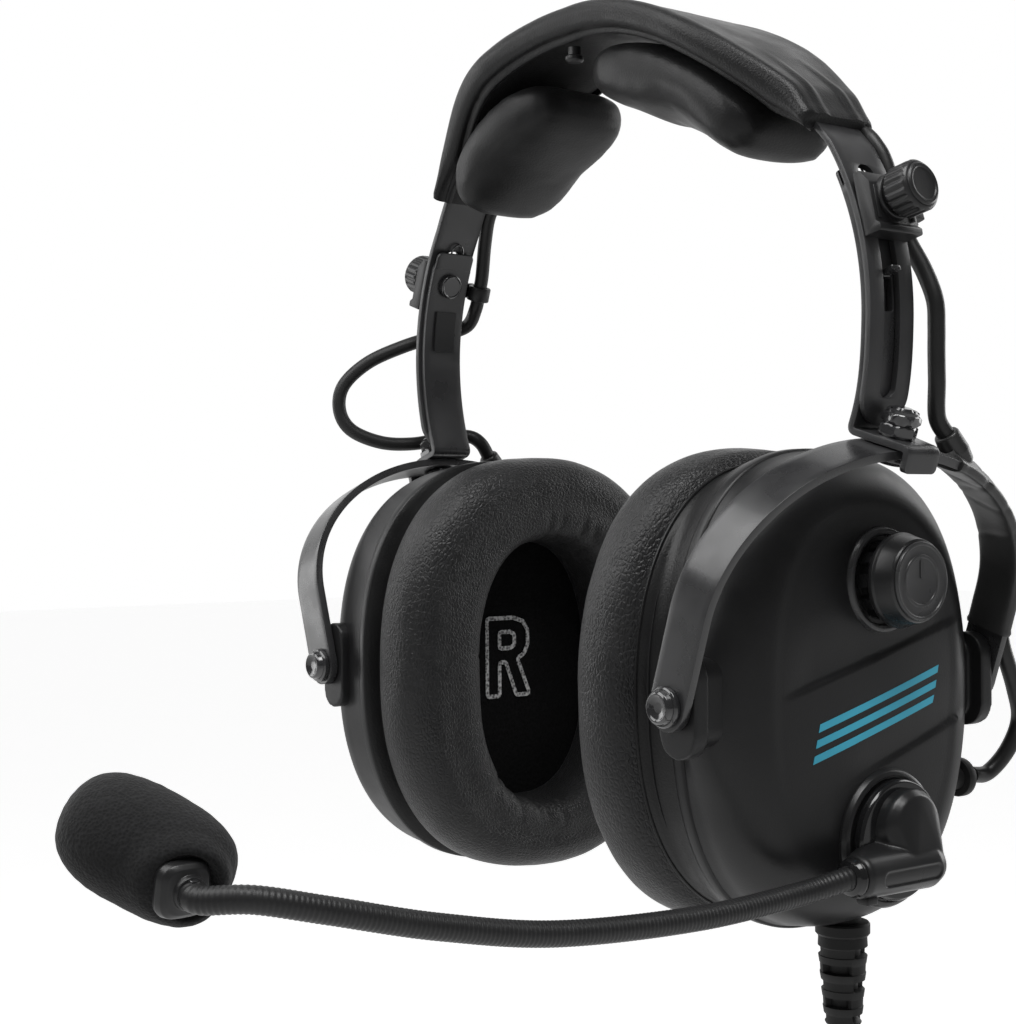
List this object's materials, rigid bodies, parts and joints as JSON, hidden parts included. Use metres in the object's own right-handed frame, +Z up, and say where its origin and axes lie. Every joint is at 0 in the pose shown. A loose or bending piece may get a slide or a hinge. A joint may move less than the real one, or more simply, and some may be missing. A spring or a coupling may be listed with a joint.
{
  "type": "aviation headset",
  "caption": "Over-ear headset with a spring headband, sliding clamped arms, yoked ear cups with padded seals, a volume knob, a gooseneck boom microphone and a cord with two plugs.",
  "frame": {"origin": "middle of the line between the centres of the two ear cups, where the wearer's head sits", "axes": "+X to the wearer's left, +Y to the wearer's rear, +Z up"},
  "size_m": [0.203, 0.2674, 0.4846],
  "materials": {
    "spring_steel": "satin black spring steel",
    "cover_leatherette": "grained black leatherette",
    "leatherette": "soft black leatherette",
    "black_steel": "gloss black steel",
    "gloss_steel": "gloss black steel band",
    "neck_steel": "fine ribbed black tube",
    "lead_jacket": "matte black cable jacket",
    "cord_jacket": "matte black cable jacket",
    "black_plastic": "moulded black plastic",
    "grey_plastic": "dark grey plastic",
    "knob_plastic": "satin to gloss black plastic",
    "cup_plastic": "fine textured black plastic",
    "rubber": "matte black rubber",
    "liner_cloth": "black acoustic cloth",
    "foam": "open cell black foam",
    "plated_brass": "gold plated"
  },
  "bodies": {
    "headband": {"headband_strip": "spring_steel", "headband_cover": "cover_leatherette", "head_pad_left": "leatherette", "head_pad_right": "leatherette", "cover_stud": "black_steel", "crossover_lead": "lead_jacket"},
    "slider_left": {"arm_left": "spring_steel", "clamp_block_left": "black_plastic", "clamp_stud_left": "black_steel", "yoke_bolt_left": "black_steel", "yoke_nuts_left": "black_steel", "lead_upper_left": "lead_jacket"},
    "clamp_left": {"clamp_knob_left": "knob_plastic"},
    "yoke_left": {"yoke_left": "gloss_steel", "pivot_pins_left": "black_steel", "sleeve_left": "rubber", "lead_lower_left": "lead_jacket"},
    "cup_left": {"cup_left": "cup_plastic", "seal_plate_left": "black_plastic", "ear_seal_left": "leatherette", "ear_liner_left": "liner_cloth", "speaker_left": "grey_plastic", "grommet_left": "rubber", "lead_cup_left": "lead_jacket", "strain_relief": "rubber", "cord_drop": "cord_jacket", "cord_coil": "cord_jacket", "cord_tie": "rubber", "cord_split": "rubber", "cord_phones": "cord_jacket", "cord_mic": "cord_jacket", "plug_phones": "black_plastic", "plug_mic": "black_plastic", "jack_phones": "plated_brass", "jack_mic": "plated_brass"},
    "slider_right": {"arm_right": "spring_steel", "clamp_block_right": "black_plastic", "clamp_stud_right": "black_steel", "yoke_bolt_right": "black_steel", "yoke_nuts_right": "black_steel", "lead_upper_right": "lead_jacket"},
    "clamp_right": {"clamp_knob_right": "knob_plastic"},
    "yoke_right": {"yoke_right": "gloss_steel", "pivot_pins_right": "black_steel", "sleeve_right": "rubber", "lead_lower_right": "lead_jacket"},
    "cup_right": {"cup_right": "cup_plastic", "seal_plate_right": "black_plastic", "ear_seal_right": "leatherette", "ear_liner_right": "liner_cloth", "speaker_right": "grey_plastic", "grommet_right": "rubber", "lead_cup_right": "lead_jacket"},
    "volume_knob": {"volume_knob": "knob_plastic"},
    "boom": {"boom_clamp": "knob_plastic", "boom_ferrule": "black_steel", "gooseneck": "neck_steel", "mic_holder": "black_plastic", "mic_foam": "foam"}
  },
  "joints": [
    {"name": "height_left", "type": "hinge", "parent": "headband", "child": "slider_left", "pos_m": [0.01501, 0, 0.08448], "axis": [0, 1, 0], "range_deg": [0, 8], "deforming": ["lead_upper_left"]},
    {"name": "clamp_knob_turn_left", "type": "hinge", "parent": "slider_left", "child": "clamp_left", "pos_m": [0.08157, 0, 0.10771], "axis": [0.9441, 0, 0.3295], "range_deg": [0, 360]},
    {"name": "yoke_swivel_left", "type": "hinge", "parent": "slider_left", "child": "yoke_left", "pos_m": [0.068, 0, 0], "axis": [0.309, 0, 0.9511], "range_deg": [-8, 8], "deforming": ["lead_lower_left"]},
    {"name": "cup_tilt_left", "type": "hinge", "parent": "yoke_left", "child": "cup_left", "pos_m": [0.068, 0, 0], "axis": [0, 1, 0], "range_deg": [-10, 6], "deforming": ["lead_cup_left"]},
    {"name": "height_right", "type": "hinge", "parent": "headband", "child": "slider_right", "pos_m": [-0.01501, 0, 0.08448], "axis": [0, -1, 0], "range_deg": [0, 8], "deforming": ["lead_upper_right"]},
    {"name": "clamp_knob_turn_right", "type": "hinge", "parent": "slider_right", "child": "clamp_right", "pos_m": [-0.08157, 0, 0.10771], "axis": [-0.9441, 0, 0.3295], "range_deg": [0, 360]},
    {"name": "yoke_swivel_right", "type": "hinge", "parent": "slider_right", "child": "yoke_right", "pos_m": [-0.068, 0, 0], "axis": [-0.309, 0, 0.9511], "range_deg": [-8, 8], "deforming": ["lead_lower_right"]},
    {"name": "cup_tilt_right", "type": "hinge", "parent": "yoke_right", "child": "cup_right", "pos_m": [-0.068, 0, 0], "axis": [0, -1, 0], "range_deg": [-10, 6], "deforming": ["lead_cup_right"]},
    {"name": "volume_turn", "type": "hinge", "parent": "cup_left", "child": "volume_knob", "pos_m": [0.0755, 0.0073, 0.025], "axis": [1, 0, 0], "range_deg": [-135, 135]},
    {"name": "boom_turn", "type": "hinge", "parent": "cup_left", "child": "boom", "pos_m": [0.0755, 0.0082, -0.033], "axis": [1, 0, 0], "range_deg": [-25, 60]}
  ]
}
